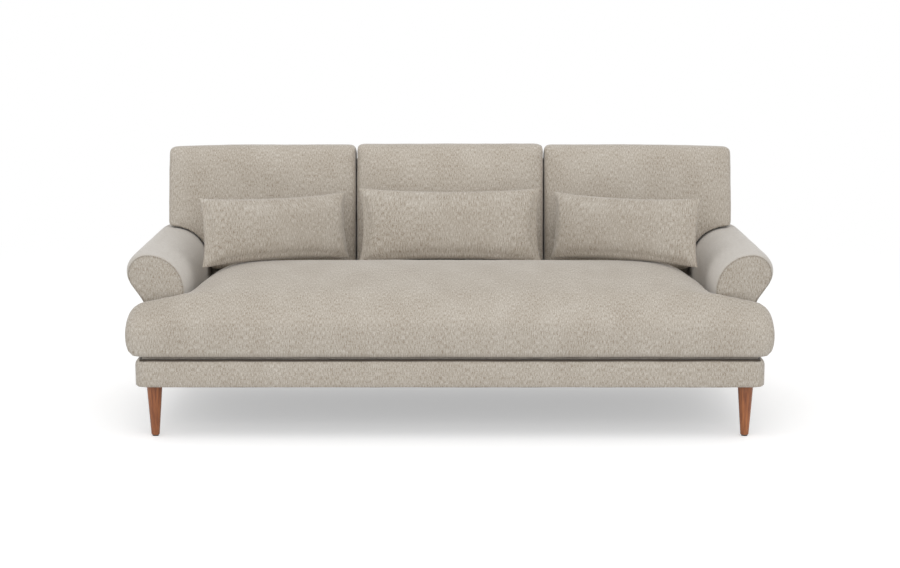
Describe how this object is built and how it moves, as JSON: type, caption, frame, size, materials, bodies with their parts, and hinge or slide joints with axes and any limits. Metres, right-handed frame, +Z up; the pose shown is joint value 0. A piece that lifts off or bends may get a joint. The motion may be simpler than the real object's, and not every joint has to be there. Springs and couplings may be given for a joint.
{
  "type": "sofa",
  "caption": "Low upholstered sofa with rolled arms, a one-piece T-shaped seat cushion, loose back cushions, knife-edge lumbar pillows and tapered round wooden legs.",
  "frame": {"origin": "on the floor, under the middle of the sofa's length and depth", "axes": "+Z up, +X along the sofa to the right seen from the front, the front faces -Y"},
  "size_m": [1.9782, 0.9943, 0.8309],
  "materials": {
    "upholstery": "matte",
    "leg_wood": "satin",
    "frame_wood": "matte",
    "spring_steel": "satin",
    "hardware": "satin",
    "glide_nylon": "matte",
    "lining_cloth": "matte",
    "deck_cloth": "matte",
    "foam": "matte",
    "fibre_fill": "matte",
    "webbing": "matte",
    "zip_tape": "matte",
    "zip_metal": "satin"
  },
  "bodies": {
    "frame": {"arm_bearers": "frame_wood", "arm_bolts": "hardware", "arm_bottom_boards": "frame_wood", "arm_cover_left": "upholstery", "arm_cover_right": "upholstery", "arm_end_boards": "frame_wood", "arm_facing_left": "upholstery", "arm_facing_right": "upholstery", "arm_padding": "foam", "arm_rear_facings": "upholstery", "arm_slats": "frame_wood", "back_band": "upholstery", "back_bolts": "hardware", "back_lining": "upholstery", "back_posts": "frame_wood", "back_rails": "frame_wood", "back_webbing": "webbing", "base_cover_front": "upholstery", "base_cover_rear": "upholstery", "base_cover_sides": "upholstery", "center_stretcher": "frame_wood", "corner_blocks": "frame_wood", "deck_pad": "deck_cloth", "dust_cover": "lining_cloth", "front_rail": "frame_wood", "leg_bolts": "hardware", "leg_front_left": "leg_wood", "leg_front_right": "leg_wood", "leg_glides": "glide_nylon", "leg_plate_screws": "hardware", "leg_plates": "hardware", "leg_rear_left": "leg_wood", "leg_rear_right": "leg_wood", "outside_back": "upholstery", "rear_rail": "frame_wood", "seat_springs": "spring_steel", "side_rails": "frame_wood", "spring_clips": "hardware"},
    "back_cushion_left": {"back_cushion_core_left": "fibre_fill", "back_cushion_cover_left": "upholstery", "back_zip_chain_left": "zip_tape"},
    "back_cushion_middle": {"back_cushion_core_middle": "fibre_fill", "back_cushion_cover_middle": "upholstery", "back_zip_chain_middle": "zip_tape"},
    "back_cushion_right": {"back_cushion_core_right": "fibre_fill", "back_cushion_cover_right": "upholstery", "back_zip_chain_right": "zip_tape"},
    "back_zip_slider_left": {"back_zip_slider_left": "zip_metal"},
    "back_zip_slider_middle": {"back_zip_slider_middle": "zip_metal"},
    "back_zip_slider_right": {"back_zip_slider_right": "zip_metal"},
    "lumbar_left": {"lumbar_cover_left": "upholstery", "lumbar_insert_left": "fibre_fill"},
    "lumbar_middle": {"lumbar_cover_middle": "upholstery", "lumbar_insert_middle": "fibre_fill"},
    "lumbar_right": {"lumbar_cover_right": "upholstery", "lumbar_insert_right": "fibre_fill"},
    "seat_cushion": {"seat_cushion_core": "foam", "seat_cushion_cover": "upholstery", "seat_zip_chain": "zip_tape"},
    "seat_zip_slider": {"seat_zip_slider": "zip_metal"}
  },
  "joints": [
    {"name": "seat_cushion_pull", "type": "slide", "parent": "frame", "child": "seat_cushion", "axis": [0, -1, 0], "range_m": [0, 0.3]},
    {"name": "seat_zip", "type": "slide", "parent": "seat_cushion", "child": "seat_zip_slider", "axis": [-1, 0, 0], "range_m": [0, 1.06]},
    {"name": "back_cushion_left_lift", "type": "slide", "parent": "frame", "child": "back_cushion_left", "axis": [0, 0.1564, 0.9877], "range_m": [0, 0.35]},
    {"name": "back_zip_left", "type": "slide", "parent": "back_cushion_left", "child": "back_zip_slider_left", "axis": [-1, 0, 0], "range_m": [0, 0.44]},
    {"name": "lumbar_left_lift", "type": "slide", "parent": "frame", "child": "lumbar_left", "axis": [0, 0, 1], "range_m": [0, 0.35]},
    {"name": "back_cushion_middle_lift", "type": "slide", "parent": "frame", "child": "back_cushion_middle", "axis": [0, 0.1564, 0.9877], "range_m": [0, 0.35]},
    {"name": "back_zip_middle", "type": "slide", "parent": "back_cushion_middle", "child": "back_zip_slider_middle", "axis": [-1, 0, 0], "range_m": [0, 0.44]},
    {"name": "lumbar_middle_lift", "type": "slide", "parent": "frame", "child": "lumbar_middle", "axis": [0, 0, 1], "range_m": [0, 0.35]},
    {"name": "back_cushion_right_lift", "type": "slide", "parent": "frame", "child": "back_cushion_right", "axis": [0, 0.1564, 0.9877], "range_m": [0, 0.35]},
    {"name": "back_zip_right", "type": "slide", "parent": "back_cushion_right", "child": "back_zip_slider_right", "axis": [-1, 0, 0], "range_m": [0, 0.44]},
    {"name": "lumbar_right_lift", "type": "slide", "parent": "frame", "child": "lumbar_right", "axis": [0, 0, 1], "range_m": [0, 0.35]}
  ]
}
